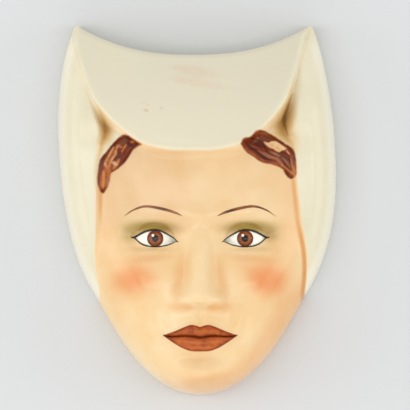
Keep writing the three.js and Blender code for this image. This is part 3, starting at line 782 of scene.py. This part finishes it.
# Brush strokes on the locks, each a line of x, y and half width
HAIR_STROKES = {
    "tawny wash": (
        [(-58.2, 28.5, 1.6), (-60.2, 22.5, 2.5), (-61.8, 16.5, 2.1)], [(-53, 40, 1), (-57, 33, 1.6)],
        [(32, 39, 0.1), (38, 34.6, 0.2), (44, 31.6, 0), (51, 29.6, 0.1)],
        [(38.5, 50.4, 0.2), (46, 49.2, 0.3), (54, 44.8, 0.4)], [(61.8, 31, 0.6), (61.4, 25, 1.2)],
    ),
    "dark strand": (
        [(-44, 47.2, 0.5), (-49, 46.5, 0.4), (-52.7, 43.6, 0.8), (-56.2, 40.7, 0.8), (-59.4, 36.5, 0.9),
         (-61.9, 32.5, 1.1), (-63.6, 27.8, 0.5), (-64.6, 22.5, 0.1)],
        [(-43.5, 45.7, 0.9), (-43.9, 42.7, 1.3), (-40.9, 41.9, 1), (-37.7, 42.7, 0.6)],
        [(-42.7, 38.9, 0.4), (-44.1, 36.1, 0.6), (-47.3, 32.1, 0.4), (-51.1, 28.6, 0.5),
         (-55.1, 25.5, 0.5)], [(-46.1, 41.1, 0.4), (-47.1, 38.3, 0.5), (-46.7, 35.3, 0.3)],
        [(-50.9, 39.1, 0.6), (-49.9, 36.7, 0.8)],
        [(-50.3, 35.5, 0.8), (-52.3, 34.3, 1), (-54.1, 31.9, 0.5)],
        [(-52.9, 40.7, 0.3), (-55.3, 36.7, 0.5), (-56.9, 33.3, 0.5)],
        [(-60.5, 15.3, 0.3), (-62.3, 12.3, 0.8)],
        [(35.8, 46.3, 0.7), (40, 45.1, 1), (42.8, 43.1, 1.1), (44.2, 39.5, 1.1), (46.6, 36.9, 1),
         (50.6, 34.9, 0.5)], [(34.5, 43.8, 0.8), (38.6, 42.4, 1.2), (42, 40.2, 1)],
        [(31.2, 44.1, 0.8), (34.5, 40.7, 1), (39.5, 37, 1), (43.8, 33.5, 1.3), (47.6, 32.3, 0.7)],
        [(54.6, 33.1, 0.4), (57.4, 28.9, 0.8), (59.2, 26.6, 0.6), (60.6, 24.9, 0.2)],
        [(52.2, 36.3, 0.4), (53.9, 37.3, 0.6), (56.5, 37.6, 0.8), (58.6, 35.7, 0.8), (59.6, 30.7, 0.4)],
        [(58.6, 41.3, 0.4), (61.5, 38.1, 0.7), (62.7, 34.1, 0.9), (62, 29.5, 0.4)],
        [(57, 23.2, 0.4), (60, 21.2, 0.6)],
        [(38.4, 49.7, 0.3), (43.2, 50.9, 0.3), (49.4, 47.5, 0.4), (55.6, 43.3, 0.5)],
    ),
    "copper strand": (
        [(-53.9, 40.9, 0.4), (-55.1, 38.7, 0.8), (-57.1, 35.3, 0.9), (-58.9, 32.3, 0.9), (-59.9, 29.1, 1)],
        [(-50.9, 42.1, 0.5), (-52.5, 38.3, 0.7), (-53.3, 35.5, 0.7), (-55.4, 33.1, 0.9), (-57.1, 30.1, 1),
         (-57.9, 26.1, 1.1), (-58.2, 22.3, 0.9)],
        [(-45.3, 42.7, 0.3), (-46.9, 40.5, 0.7), (-48.5, 38.3, 0.4)],
        [(-50.7, 32.7, 0.6), (-52.7, 29.7, 1.1), (-54.7, 27.1, 0.7)],
        [(-61.1, 25.3, 0.5), (-61.1, 21.3, 1), (-61.7, 16.9, 1), (-62.1, 14.3, 0.5)],
        [(-40.4, 44.3, 0.5), (-41.7, 44.3, 0.8)],
        [(54.4, 29.5, 0.3), (56.2, 27.7, 0.5), (58.6, 25.9, 0.5), (61.4, 23.9, 0.7)],
        [(60.2, 33.9, 0.1), (60.8, 29.7, 0.4), (62, 25.5, 0.8), (61.8, 22.5, 0.7)],
    ),
    "rosy strand": (
        [(39.4, 38.4, 0.2), (42.2, 36.4, 1.1), (46.6, 35, 1.4), (50.4, 34, 1.1), (52.8, 32, 1.3),
         (54.6, 29.6, 0.7)], [(46.4, 37.6, 0.3), (49.6, 36.6, 0.8), (52.6, 35.4, 0.6)],
        [(55, 33.6, 0.5), (57.6, 31, 0.7), (59.4, 28.2, 0.4)], [(37.6, 45.4, 0.3), (39.4, 46.6, 0.6)],
        [(-48.4, 40.6, 0.3), (-50.6, 41.6, 0.9), (-52, 41, 0.5)],
        [(-57, 22.4, 0.4), (-58.6, 19.8, 1), (-59.6, 16.6, 0.6)],
    ),
    # Pale peach strokes on the locks: painted glints.
    "painted glint": (
        [(-53.8, 40.5, 0.3), (-54.9, 39, 0.4), (-57.1, 35.1, 0.4)],
        [(-59.8, 30.1, 0.7), (-59.5, 28.5, 0.5)],
        [(-52.5, 38.5, 0.3), (-53.1, 35.9, 0.3), (-55.7, 32.7, 0.4)],
        [(-46.1, 41.7, 0.2), (-46.7, 40.7, 0.4)],
        [(-56, 31.2, 0.3), (-53.8, 30.4, 1.3), (-52.2, 29.4, 0.5)], [(43.6, 43.7, 0.2), (44.8, 42.7, 0.4)],
        [(58, 38.5, 0.4), (59.5, 36.5, 0.4)],
    ),
    "grey strand": (
        [(-45.5, 46.1, 0.8), (-46.7, 44.9, 1.2), (-48.1, 42.9, 0.5)],
        [(41.2, 46.5, 0.5), (44.2, 45.9, 0.9), (48.4, 45.7, 0.3)],
        [(51.4, 36.5, 0.5), (54.2, 34.9, 1.1), (57.2, 33.3, 1.1), (58.2, 30.7, 0.5)],
    ),
}
# A lock's rough length, and where its streaks' pattern starts, so that it is another part than the rest's
LOCK_LENGTH = 46.0
STREAKS_APART = 200


def brush(line, x, y):
    """Millimetres inside a brush stroke, whose points give x, y and half width."""
    distance, place, _ = nearest(line, x, y)
    return np.interp(place, np.arange(len(line)), line[:, 2]) - distance


def skin_loop():
    """The painted skin: under the brim, along the hair and down inside the side panels."""
    brim_foot = BRIM_EDGE[(BRIM_EDGE[:, 0] < 29) & (BRIM_EDGE[:, 0] > -37)] - (0.0, 0.3)
    right, left = (PANEL_EDGES[hand][PANEL_SIDE[:, 1] < top] for hand, top in ((1, 30), (-1, 18)))
    below = np.array([(-80, -76), (-95, -140), (95, -140), (80, -76)], float)
    return np.vstack([brim_foot, LOCKS[0][:, :2], left, below, right[::-1], LOCKS[1][::-1, :2]])


def fold_tint(x, y, from_edge):
    """Airbrushed tint that fades from the bottom of a fold to both sides."""
    out = np.zeros(x.shape)
    for hand, rows_down in FOLD_TINT.items():
        here = x * hand >= 0
        height, strength, over_panel, over_lining = np.array(rows_down).T
        reach = np.where(from_edge[here] > 0, np.interp(y[here], height, over_panel),
                         np.interp(y[here], height, over_lining))
        fade = np.clip(1 - np.abs(from_edge[here]) / reach, 0, 1)
        out[here] = np.interp(y[here], height, strength) * fade**1.2
    return out


def hood_paint(x, y, in_brim, skin):
    """Tints in the folds and grooves beside the face, marks, and painted shade and highlights on the hood."""
    from_edge = beyond_panel_edge(x, y)
    from_groove = from_edge + np.interp(y, (-40, -10), (1.6, 2.8))
    on_right = ease(30, 20, y) * (0.75 + 0.35 * ease(0, -25, y)) * ease(-70, -58, y)
    on_left = 0.9 * ease(20, 12, y) * ease(-18, 4, y)
    # A pale peach line just under the brim's edge: a peach tint and a painted highlight, half as strong on
    # the skin.
    bead_tint_and_highlight = ease(34, 42, y) * ease(119, 100, y) * (0.35 + 0.65 * ease(72, 58, y)) * (in_brim < 6)
    return {
        # The brim's own cream is greyer, and darker towards its top: painted shade there.
        "brim": ease(0.5, 5, in_brim) * (0.62 + 0.38 * ease(50, 95, y)),
        # A lighter band along the side outline: painted sheen where the edges roll away.
        "painted edge sheen": ease(9, 2, nearest(SIDE, np.abs(x), y)[0]) * ease(118, 100, y),
        "bead_tint_and_highlight": bead_tint_and_highlight * gauss((in_brim + 1.3) / 2.2) * np.where(skin > 0, 0.5, 1.0),
        "tan": fold_tint(x, y, from_edge) * ease(2.0, -1.5, in_brim),
        "groove": ease(0.4, -0.8, from_edge) * gauss(from_groove / 1.7) * np.where(x > 0, on_right, on_left),
        "fold core": brush(FOLD_CORE, x, y),
        "smudge": np.clip(mounds(SMUDGE, x, y), 0, 1),
        "speck": np.max([radius - np.hypot((x - cx) * 0.7, y - cy) for cx, cy, radius in SPECKS], axis=0),
    }


def skin_paint(x, y, in_brim, skin):
    """The painted skin, its airbrushed warmth, blush and forehead tint, and painted shade among them."""
    side = np.abs(x)
    on_skin = ease(-1, 1, skin)
    # Warm tint at the jaw's edge, strongest on the right: airbrush and painted shade.
    jaw = 1.1 * ease(-45, 35, x) * ease(20, 3, edge_distance(x, y)) * ease(-40, -70, y)
    # A warm darker band just under the brim: painted shade.
    under_brim = 0.15 * ease(-9, -1, in_brim) * ease(0, -1, in_brim)
    warmth_and_shade = mounds(WARM_TINTS, side, y) + mounds(JAW_TINTS, x, y) + jaw + under_brim
    return {
        "skin": skin,
        "warmth_and_shade": np.clip(warmth_and_shade, 0, 1) * on_skin,
        "blush": mounds(BLUSH, side, y) * np.where(x > 0, 1.0, 0.85),
        # The forehead's tint at half strength, and full on its left: painted shade there.
        "forehead_tint_and_shade": ease(-30, 10, y) * (0.5 + 0.5 * ease(15, -40, x)) * on_skin,
        "brow": brush(BROW, side, y),
    }


def eye_paint(x, y):
    side = np.abs(x)
    opening = inside_eye(x, y)
    from_iris = np.hypot(side - EYE, y - IRIS_Y)
    glint_x, glint_y = CATCHLIGHT
    return {
        "eye shadow": np.clip(mounds(EYE_SHADOW, side, y), 0, 1),
        "eye opening": opening,
        "iris": np.minimum(IRIS_RADIUS - from_iris, opening + 0.3),
        "pupil": np.minimum(PUPIL_RADIUS - from_iris, opening + 0.3),
        "catchlight": GLINT_RADIUS - np.hypot(side - EYE - np.sign(x) * glint_x, y - IRIS_Y - glint_y),
        "eye line": np.maximum(brush(UPPER_LINE, side, y), brush(LOWER_LINE, side, y)),
        "crease line": brush(CREASE_LINE, side, y),
    }


def lip_paint(x, y):
    """The lips, darker towards their edges and corners, and the line between them."""
    side = np.abs(x)
    mouth = inside_loop(np.vstack([LIP_LOOP, mirrored(LIP_LOOP)[::-1]]), x, y)
    at_edge = np.clip(1.1 - mouth / 2.4, 0, 1) * (mouth > -0.1)
    return {
        "lips": mouth,
        "lip shade": at_edge + 0.5 * ease(14, MOUTH_HALF, side) * (mouth > 0),
        "parting": 0.5 - np.abs(y - np.interp(side, *PARTING.T)) - 9.0 * (side > MOUTH_HALF),
    }


def hair_paint(x, y, lock):
    """The locks' brown, the strokes on it, and where to draw streaks: along and across each lock."""
    strokes = {}
    for name, lines in HAIR_STROKES.items():
        inside = np.max([brush(curve_through(line, 5), x, y) for line in lines], axis=0)
        strokes[name] = np.minimum(inside, lock + 0.2)
    brushed = np.stack([x, y, 0.0 * x], 1)
    for line in LOCKS:
        along, across, half = on_lock(line, x, y)
        near = np.abs(across) < half + 4
        brushed[near] = np.stack([STREAKS_APART + LOCK_LENGTH * along, across, 0.0 * x], 1)[near]
    gap = inside_loop(BARE_GAP, x, y)
    return strokes | {"lock": np.minimum(lock, -gap), "bare gap": gap, "brushed": brushed}


def painting(x, y):
    """Every painted value at the corners of the front."""
    in_brim = inside_brim(x, y)
    lock = np.maximum(*(inside_loop(loop, x, y) for loop in LOCK_LOOPS))
    skin = np.maximum(inside_loop(skin_loop(), x, y), lock)
    on_face_and_hood = hood_paint(x, y, in_brim, skin) | skin_paint(x, y, in_brim, skin)
    return on_face_and_hood | eye_paint(x, y) | lip_paint(x, y) | hair_paint(x, y, lock)


def bowed(corners):
    """The casting slumped a little in the kiln: its middle line bows to one side."""
    bent = corners.copy()
    bent[:, 0] -= BOW * np.sin(0.5 * math.pi * np.clip((corners[:, 1] - BOW_MIDDLE_Y) / BOW_REACH, -1.0, 1.0))
    return bent


def make_mesh(skin):
    corners = np.array(skin.corners)
    mesh = bpy.data.meshes.new("mask_casting")
    mesh.from_pydata((bowed(corners) * MM).tolist(), [], skin.faces)
    slots = {"front": 0, "hollow": 1, "ledge": 1, "hole": 1, "foot": 2}
    mesh.polygons.foreach_set("material_index", [slots[group] for group in skin.groups])
    mesh.polygons.foreach_set("use_smooth", [True] * len(skin.faces))
    for name, values in painting(*corners[:, :2].T).items():
        kind, field = ("FLOAT", "value") if values.ndim == 1 else ("FLOAT_VECTOR", "vector")
        data = mesh.attributes.new(name, kind, "POINT").data
        data.foreach_set(field, values.astype(np.float32).ravel())
    mesh.update()
    mesh.validate()
    group_at_edge = {}
    for polygon, group in zip(mesh.polygons, skin.groups):
        for key in polygon.edge_keys:
            group_at_edge.setdefault(key, set()).add(group)
    for edge in mesh.edges:
        edge.use_edge_sharp = len(group_at_edge.get(edge.key, ())) > 1
    return mesh


# Materials

def paint(code):
    """A linear colour from an sRGB hex value."""
    parts = [int(code[i:i + 2], 16) / 255 for i in (1, 3, 5)]
    return [p / 12.92 if p <= 0.04045 else ((p + 0.055) / 1.055)**2.4 for p in parts] + [1.0]


def node(tree, kind, inputs=None, output=0, **settings):
    """Adds a node and gives back one output. Inputs are values or sockets, by name or number."""
    made = tree.nodes.new("ShaderNode" + kind)
    for name, value in settings.items():
        setattr(made, name, value)
    for name, value in (inputs or {}).items():
        if isinstance(value, bpy.types.NodeSocket):
            tree.links.new(value, made.inputs[name])
        else:
            made.inputs[name].default_value = value
    return made.outputs[output] if made.outputs else None


def new_material(name, surface):
    """A material whose shader has the inputs that the surface's function gives."""
    material = bpy.data.materials.new(name)
    material.use_nodes = True
    tree = material.node_tree
    tree.nodes.clear()
    node(tree, "OutputMaterial", {"Surface": node(tree, "BsdfPrincipled", surface(tree))})
    return material


# Paint in the order that it goes on: painted value, where it starts and is full, thin and thick colour,
# strength, how far its edge wavers, and what makes it uneven
LAYERS = (
    # brim: the brim's greyer cream, and painted shade darker towards its top
    ("brim", 0, 1, "#DAD3BB", "#D7CFBA", 0.85, 0, "cloud"),
    # painted sheen: a lighter band along the outer edges
    ("painted edge sheen", 0, 1, "#F3EEDC", "#EFE9D4", 0.6, 0, "cloud"),
    ("skin", -0.5, 0.5, "#F2D7A9", "#ECC58E", 1, 0.3, "cloud"),
    # warmth: airbrushed tints, with painted shade under the brim and at the right jaw
    ("warmth_and_shade", 0, 1, "#E8B277", "#E0A568", 0.7, 0, "cloud"),
    ("blush", 0, 1, "#EA8C4C", "#E37836", 0.68, 0, "cloud"),
    # forehead: its tint, and painted shade on its left
    ("forehead_tint_and_shade", 0, 1, "#E2C096", "#DAB184", 0.62, 0, "cloud"),
    # painted highlight along the brim's edge, over a peach tint
    ("bead_tint_and_highlight", 0, 1, "#FFE4BC", "#FFE0B4", 0.75, 0, "cloud"),
    ("tan", 0, 0.62, "#E4C592", "#DCBB84", 1, 0, "cloud"),
    ("tan", 0.4, 1.1, "#B8883C", "#A87A32", 1, 0, "cloud"),
    ("groove", 0, 1.1, "#D8954C", "#CC8840", 0.9, 0, "cloud"),
    ("smudge", 0.2, 1.3, "#D9B091", "#CC9B7A", 0.2, 1.2, "cloud"),
    ("speck", -0.4, 0.7, "#CDB284", "#BC9A64", 0.5, 0.7, "cloud"),
    ("eye shadow", 0.02, 0.95, "#A88E3E", "#866A1A", 0.95, 0, "cloud"),
    ("fold core", -1.1, 0.9, "#8A5E26", "#74491A", 0.75, 0.4, "cloud"),
    ("lock", -0.9, 0, "#A86430", "#985420", 0.7, 0.6, "streak"),
    ("lock", -0.25, 0.6, "#843402", "#622200", 1, 0.6, "streak"),
    ("tawny wash", -1.6, 1.2, "#B8662C", "#98420A", 0.85, 0.6, "streak"),
    ("bare gap", -0.3, 1.3, "#F2CA98", "#CC9056", 0.78, 0.9, "patch"),
    ("grey strand", -0.6, 0.8, "#6E4A38", "#503226", 0.75, 1, "streak"),
    ("rosy strand", -0.9, 0.7, "#B07858", "#945C40", 0.8, 1, "streak"),
    ("copper strand", -0.7, 0.6, "#CC8440", "#B0621E", 0.75, 1, "streak"),
    ("dark strand", -0.7, 0.9, "#561800", "#3A0C00", 0.85, 1, "streak"),
    # painted glints on the hair
    ("painted glint", -0.6, 0.7, "#E4B08A", "#CC9068", 0.75, 0.8, "streak"),
    ("brow", -0.3, 0.3, "#8E4A1C", "#461C08", 0.95, 0.2, "streak"),
    ("lips", -0.15, 0.4, "#C25C12", "#943204", 0.95, 0.4, "patch"),
    ("lip shade", 0.2, 1, "#9A3406", "#7C2604", 0.75, 0.5, "patch"),
    ("parting", -0.3, 0.5, "#571802", "#571802", 0.8, 0.3, "cloud"),
    ("eye opening", -0.2, 0.2, "#FFFBEC", "#FBF5E2", 1, 0, "cloud"),
    ("iris", -0.15, 0.3, "#74300E", "#5C2206", 1, 0.3, "patch"),
    ("iris", 0.6, 2.4, "#B06B3C", "#84401A", 0.7, 1.2, "patch"),
    ("pupil", -0.2, 0.35, "#1C1008", "#140A04", 1, 0.2, "cloud"),
    ("catchlight", -0.2, 0.2, "#FFFDF4", "#FFFDF4", 1, 0, "cloud"),
    ("eye line", -0.15, 0.25, "#1E1404", "#181002", 0.95, 0.3, "cloud"),
    ("crease line", -0.35, 0.25, "#8A5A2C", "#8A5A2C", 0.6, 0.2, "cloud"),
)

# Pattern scales, in repeats per millimetre: an edge wavers every 2 mm, clouds are 29 mm wide and patches
# 5 mm wide, and a brush's streaks 12 mm long and 2.5 mm wide
WAVERS = 0.45
CLOUDS = 0.035
PATCHES = 0.2
STREAKS = (0.08, 0.4, 1.0)


def painted_glaze(tree):
    """Painting under a clear gloss glaze: soft tints, sharp strokes and a wet, slightly uneven shine."""
    place = node(tree, "TexCoord", output="Object")
    in_mm = node(tree, "VectorMath", {0: place, "Scale": 1.0 / MM}, operation="SCALE")
    waver = node(tree, "TexNoise", {"Vector": in_mm, "Scale": WAVERS, "Detail": 3.0})
    cloud = node(tree, "TexNoise", {"Vector": in_mm, "Scale": CLOUDS, "Detail": 4.0})
    brushed = node(tree, "Attribute", output="Vector", attribute_name="brushed")
    drawn = node(tree, "VectorMath", {0: brushed, 1: STREAKS}, operation="MULTIPLY")
    streak = node(tree, "TexNoise", {"Vector": drawn, "Scale": 1.0, "Detail": 4.0, "Distortion": 0.4})
    patch = node(tree, "TexNoise", {"Vector": in_mm, "Scale": PATCHES, "Detail": 3.0, "Distortion": 0.5})
    thickness = {
        name: node(tree, "MapRange", {"Value": source, "From Min": low, "From Max": high})
        for name, source, low, high in (
            ("cloud", cloud, 0.3, 0.7), ("streak", streak, 0.36, 0.64), ("patch", patch, 0.32, 0.68),
        )
    }
    cream = {"Factor": thickness["cloud"], "A": paint("#DFD7BB"), "B": paint("#E5DEC3")}
    colour = node(tree, "Mix", cream, "Result", data_type="RGBA")
    for name, start, full, thin, thick, strength, wavers, uneven in LAYERS:
        value = node(tree, "Attribute", output="Fac", attribute_name=name)
        moved = node(tree, "Math", {0: waver, 1: wavers, 2: value}, operation="MULTIPLY_ADD")
        limits = {"From Min": start + 0.5 * wavers, "From Max": full + 0.5 * wavers, "To Max": strength}
        cover = node(tree, "MapRange", {"Value": moved} | limits, interpolation_type="SMOOTHSTEP")
        coat = {"Factor": thickness[uneven], "A": paint(thin), "B": paint(thick)}
        coat = node(tree, "Mix", coat, "Result", data_type="RGBA")
        colour = node(tree, "Mix", {"Factor": cover, "A": colour, "B": coat}, "Result", data_type="RGBA")
    relief = node(tree, "Bump", {"Height": patch, "Strength": 0.12, "Distance": 0.25 * MM})
    return {"Base Color": colour, "Roughness": 0.16, "IOR": 1.5, "Specular IOR Level": 0.25, "Normal": relief}


def plain_glaze(tree):
    """The unpainted glaze of the hollow: glossy cream, clouded where it pooled, with kiln specks."""
    place = node(tree, "TexCoord", output="Object")
    pooled = node(tree, "TexNoise", {"Vector": place, "Scale": 1 / (28 * MM), "Detail": 3.0})
    spots = node(tree, "TexVoronoi", {"Vector": place, "Scale": 1 / (7 * MM), "Randomness": 1.0})
    speck = node(tree, "MapRange", {"Value": spots, "From Min": 0.09, "From Max": 0.03, "To Max": 0.6})
    cream = {"Factor": pooled, "A": paint("#DDD2B0"), "B": paint("#EEE7CF")}
    cream = node(tree, "Mix", cream, "Result", data_type="RGBA")
    colour = {"Factor": speck, "A": cream, "B": paint("#A98D62")}
    colour = node(tree, "Mix", colour, "Result", data_type="RGBA")
    relief = node(tree, "Bump", {"Height": pooled, "Strength": 0.3, "Distance": 0.8 * MM})
    return {"Base Color": colour, "Roughness": 0.2, "IOR": 1.5, "Normal": relief}


def bare_clay(tree):
    """Biscuit earthenware, wiped clean of glaze so that the foot doesn't stick in the kiln: dull, chalky."""
    place = node(tree, "TexCoord", output="Object")
    grain = node(tree, "TexNoise", {"Vector": place, "Scale": 1 / (0.8 * MM), "Detail": 2.0})
    stain = node(tree, "TexNoise", {"Vector": place, "Scale": 1 / (15 * MM), "Detail": 4.0})
    clay = {"Factor": stain, "A": paint("#C9B592"), "B": paint("#E6DAC0")}
    clay = node(tree, "Mix", clay, "Result", data_type="RGBA")
    relief = node(tree, "Bump", {"Height": grain, "Strength": 0.5, "Distance": 0.2 * MM})
    return {"Base Color": clay, "Roughness": 0.85, "IOR": 1.5, "Normal": relief}


def white_card(tree):
    """Matt white card, which takes soft shadows."""
    return {"Base Color": paint("#D6D8D9"), "Roughness": 0.9}


def put(name, data):
    """A new object in the scene."""
    made = bpy.data.objects.new(name, data)
    bpy.context.scene.collection.objects.link(made)
    return made


def make_mask():
    mask = put("mask_casting", make_mesh(make_casting()))
    mask.data.materials.append(new_material("glazed_earthenware_painted", painted_glaze))
    mask.data.materials.append(new_material("glazed_earthenware_plain", plain_glaze))
    mask.data.materials.append(new_material("bare_earthenware", bare_clay))
    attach(mask, "root")
    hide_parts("mask")


# Studio, in metres

# The floor lies a hair below the foot, so that the two aren't in one plane
FLOOR_HALF = 3.0
FLOOR_Z = -0.0002
# Each light's place, width and length, and watts
LIGHTS = {
    "high_left_strip_box": ((-0.55, 0.0, 1.5), (0.4, 1.2), 4.2),
    "high_right_strip_box": ((0.6, 0.0, 1.5), (0.2, 0.8), 1.7),
    "low_left_soft_box": ((-1.5, 0.0, 0.55), (1.0, 1.0), 5.0),
    "low_right_soft_box": ((1.5, 0.0, 0.55), (1.0, 1.0), 5.1),
    "low_front_soft_box": ((0.0, -1.5, 0.5), (1.4, 1.0), 5.6),
    "low_back_soft_box": ((0.0, 1.5, 0.5), (1.4, 1.0), 2.6),
    "overhead_soft_box": ((-0.25, -0.35, 1.7), (0.7, 0.7), 0.9),
}
AIMED_AT = Vector((0.0, 0.0, 0.03))
AMBIENT = 0.7
# The camera looks straight down from far off, through a long lens; its scale holds at the height of the rim
CAMERA_HEIGHT = 4.0
CAMERA_AT = (0.0053, 0.0035)
PICTURE_PIXELS = 410
MM_PER_PIXEL = 0.652
RIM_Z = 0.012
SENSOR = 36.0


def make_floor():
    corners = [(x * FLOOR_HALF, y * FLOOR_HALF, FLOOR_Z) for x, y in ((-1, -1), (1, -1), (1, 1), (-1, 1))]
    mesh = bpy.data.meshes.new("floor")
    mesh.from_pydata(corners, [], [(0, 1, 2, 3)])
    floor = put("floor", mesh)
    mesh.materials.append(new_material("matt_white_card", white_card))


def make_light(name, place, size, watts):
    data = bpy.data.lights.new(name, "AREA")
    data.shape = "RECTANGLE"
    data.size, data.size_y = size
    data.energy = watts
    light = put(name, data)
    light.location = place
    light.visible_camera = False
    light.rotation_euler = (AIMED_AT - Vector(place)).to_track_quat("-Z", "Y").to_euler()


def make_studio():
    scene = bpy.context.scene
    scene.view_settings.view_transform = "Standard"
    world = bpy.data.worlds.new("studio")
    world.use_nodes = True
    background = world.node_tree.nodes["Background"]
    background.inputs["Color"].default_value = (1.0, 1.0, 1.0, 1.0)
    background.inputs["Strength"].default_value = AMBIENT
    scene.world = world
    make_floor()
    for name, (place, size, watts) in LIGHTS.items():
        make_light(name, place, size, watts)


def make_camera():
    data = bpy.data.cameras.new("camera")
    data.sensor_width = SENSOR
    data.lens = SENSOR * (CAMERA_HEIGHT - RIM_Z) / (PICTURE_PIXELS * MM_PER_PIXEL * MM)
    camera = put("camera", data)
    camera.location = (*CAMERA_AT, CAMERA_HEIGHT)
    bpy.context.scene.camera = camera


make_camera()
make_studio()
make_mask()

bpy.context.view_layer.update()
